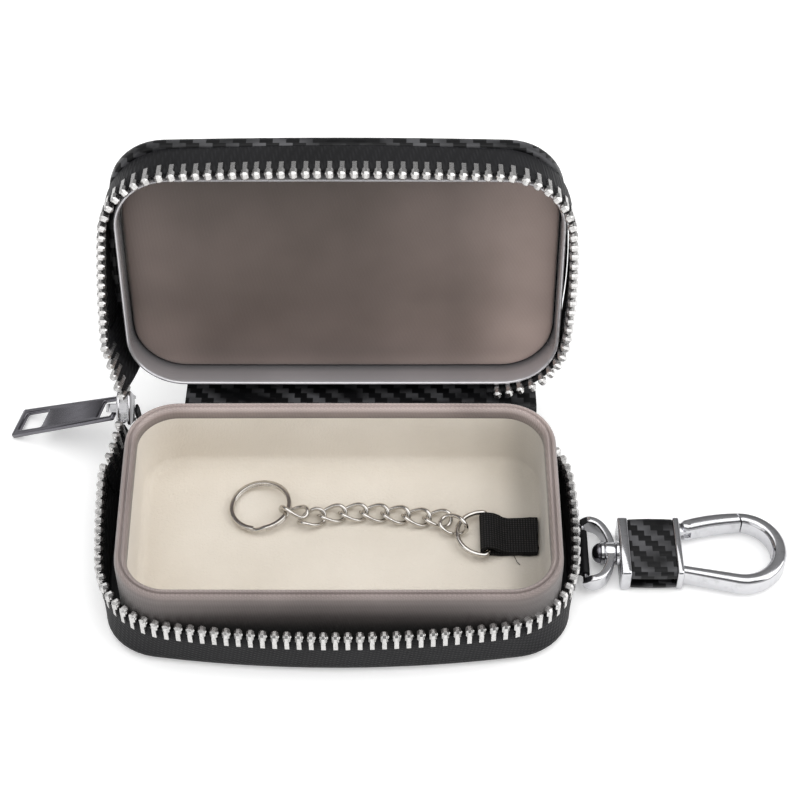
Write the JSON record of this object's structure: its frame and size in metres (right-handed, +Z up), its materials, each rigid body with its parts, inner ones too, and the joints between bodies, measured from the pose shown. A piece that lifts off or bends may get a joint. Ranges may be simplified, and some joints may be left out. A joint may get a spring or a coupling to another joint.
{
  "type": "signal-blocking key case",
  "caption": "Zipped two-part signal-blocking case for keys, open, with a tray, a curb chain with a split ring, and a swivel clip.",
  "frame": {"origin": "middle of the flat underside of the base, on the table", "axes": "+X to the right along the hinge, towards the clip; +Y to the back; +Z up"},
  "size_m": [0.1938, 0.0962, 0.0834],
  "materials": {
    "black_leather": "smooth, fine grain",
    "carbon_leather": "embossed weave",
    "board": "plain fibreboard",
    "shield_foil": "metallised cloth",
    "satin_cloth": "satin with a fine diagonal weave",
    "grey_cloth": "matt grey cloth",
    "felt": "short cream pile",
    "padding": "soft foam sheet",
    "zip_tape": "woven twill",
    "zip_teeth": "polished dark nickel",
    "webbing": "woven webbing",
    "nickel": "bright plated",
    "dark_nickel": "mirror, dark",
    "steel": "plain spring steel"
  },
  "bodies": {
    "base": {"base_shell": "black_leather", "base_board": "board", "base_shield": "shield_foil", "tray_frame": "satin_cloth", "tray_lining": "felt", "base_zip_teeth": "zip_teeth", "base_zip_tape": "zip_tape", "hinge_strip_lower": "carbon_leather", "webbing_strap": "webbing", "side_tab": "black_leather", "slider_body": "dark_nickel", "slider_bridge": "dark_nickel", "zip_tail": "zip_tape"},
    "lid": {"lid_shell": "carbon_leather", "lid_shield": "shield_foil", "lid_frame": "grey_cloth", "lid_panel": "satin_cloth", "lid_board": "board", "lid_padding": "padding", "lid_zip_tape": "zip_tape", "lid_zip_teeth": "zip_teeth", "hinge_strip_upper": "carbon_leather"},
    "pull_tab": {"pull_tab": "dark_nickel"},
    "outer_ring": {"outer_d_ring": "nickel"},
    "clip": {"swivel_rivet": "dark_nickel", "swivel_washer": "nickel", "clip_frame": "nickel", "block_wrap": "carbon_leather", "gate_pin": "nickel", "gate_spring": "steel"},
    "gate": {"clip_gate": "nickel"},
    "inner_ring": {"inner_d_ring": "nickel"},
    "link_1": {"chain_link_1": "nickel"},
    "link_2": {"chain_link_2": "nickel"},
    "link_3": {"chain_link_3": "nickel"},
    "link_4": {"chain_link_4": "nickel"},
    "link_5": {"chain_link_5": "nickel"},
    "link_6": {"chain_link_6": "nickel"},
    "link_7": {"chain_link_7": "nickel"},
    "link_8": {"chain_link_8": "nickel"},
    "link_9": {"chain_link_9": "nickel"},
    "key_ring": {"key_ring": "nickel"}
  },
  "joints": [
    {"name": "lid_fold", "type": "hinge", "parent": "base", "child": "lid", "pos_m": [0, 0.0355, 0.014], "axis": [-1, 0, 0], "range_deg": [-98.3, 46]},
    {"name": "pull_tab_swing", "type": "hinge", "parent": "base", "child": "pull_tab", "pos_m": [-0.05698, 0.03466, 0.01517], "axis": [0.247, 0.969, 0], "range_deg": [-30, 36]},
    {"name": "outer_ring_lift", "type": "hinge", "parent": "base", "child": "outer_ring", "pos_m": [0.05876, -0.0021, 0.00375], "axis": [0, -1, 0], "range_deg": [-60, 50]},
    {"name": "clip_swivel", "type": "hinge", "parent": "outer_ring", "child": "clip", "pos_m": [0.066, -0.0021, 0.00375], "axis": [1, 0, 0], "continuous": true},
    {"name": "gate_open", "type": "hinge", "parent": "clip", "child": "gate", "pos_m": [0.0847, 0.0051, 0.00375], "axis": [0, 0, -1], "range_deg": [0, 30], "stiffness_Nm_per_rad": 0.02, "springref_deg": -17.19},
    {"name": "inner_ring_lift", "type": "hinge", "parent": "base", "child": "inner_ring", "pos_m": [0.0353, 0.0022, 0.00585], "axis": [0, 1, 0], "range_deg": [0, 70]},
    {"name": "link_1_sway", "type": "hinge", "parent": "inner_ring", "child": "link_1", "pos_m": [0.02826, 0.00404, 0.00623], "axis": [0, 0, 1], "range_deg": [-8, 8]},
    {"name": "link_2_lift", "type": "hinge", "parent": "link_1", "child": "link_2", "pos_m": [0.0254, 0.0064, 0.0059], "axis": [0.038, 0.9993, 0], "range_deg": [0, 12]},
    {"name": "link_3_sway", "type": "hinge", "parent": "link_2", "child": "link_3", "pos_m": [0.02075, 0.0073, 0.00542], "axis": [0, 0, -1], "range_deg": [-9, 9]},
    {"name": "link_4_lift", "type": "hinge", "parent": "link_3", "child": "link_4", "pos_m": [0.0156, 0.0081, 0.00542], "axis": [0.134, 0.991, 0], "range_deg": [0, 15]},
    {"name": "link_5_sway", "type": "hinge", "parent": "link_4", "child": "link_5", "pos_m": [0.01045, 0.0088, 0.00542], "axis": [0, 0, 1], "range_deg": [-11, 11]},
    {"name": "link_6_lift", "type": "hinge", "parent": "link_5", "child": "link_6", "pos_m": [0.00525, 0.00915, 0.00542], "axis": [-0.03, 0.9995, 0], "range_deg": [0, 15]},
    {"name": "link_7_sway", "type": "hinge", "parent": "link_6", "child": "link_7", "pos_m": [0.00005, 0.009, 0.00542], "axis": [0, 0, -1], "range_deg": [-15, 15]},
    {"name": "link_8_lift", "type": "hinge", "parent": "link_7", "child": "link_8", "pos_m": [-0.0051, 0.0082, 0.00542], "axis": [-0.3759, 0.9267, 0], "range_deg": [0, 15]},
    {"name": "link_9_sway", "type": "hinge", "parent": "link_8", "child": "link_9", "pos_m": [-0.0096, 0.007, 0.006], "axis": [0, 0, 1], "range_deg": [-15, 15]},
    {"name": "key_ring_lift", "type": "hinge", "parent": "link_9", "child": "key_ring", "pos_m": [-0.0133, 0.00891, 0.00649], "axis": [0.1749, 0.9846, 0], "range_deg": [0, 30]}
  ]
}
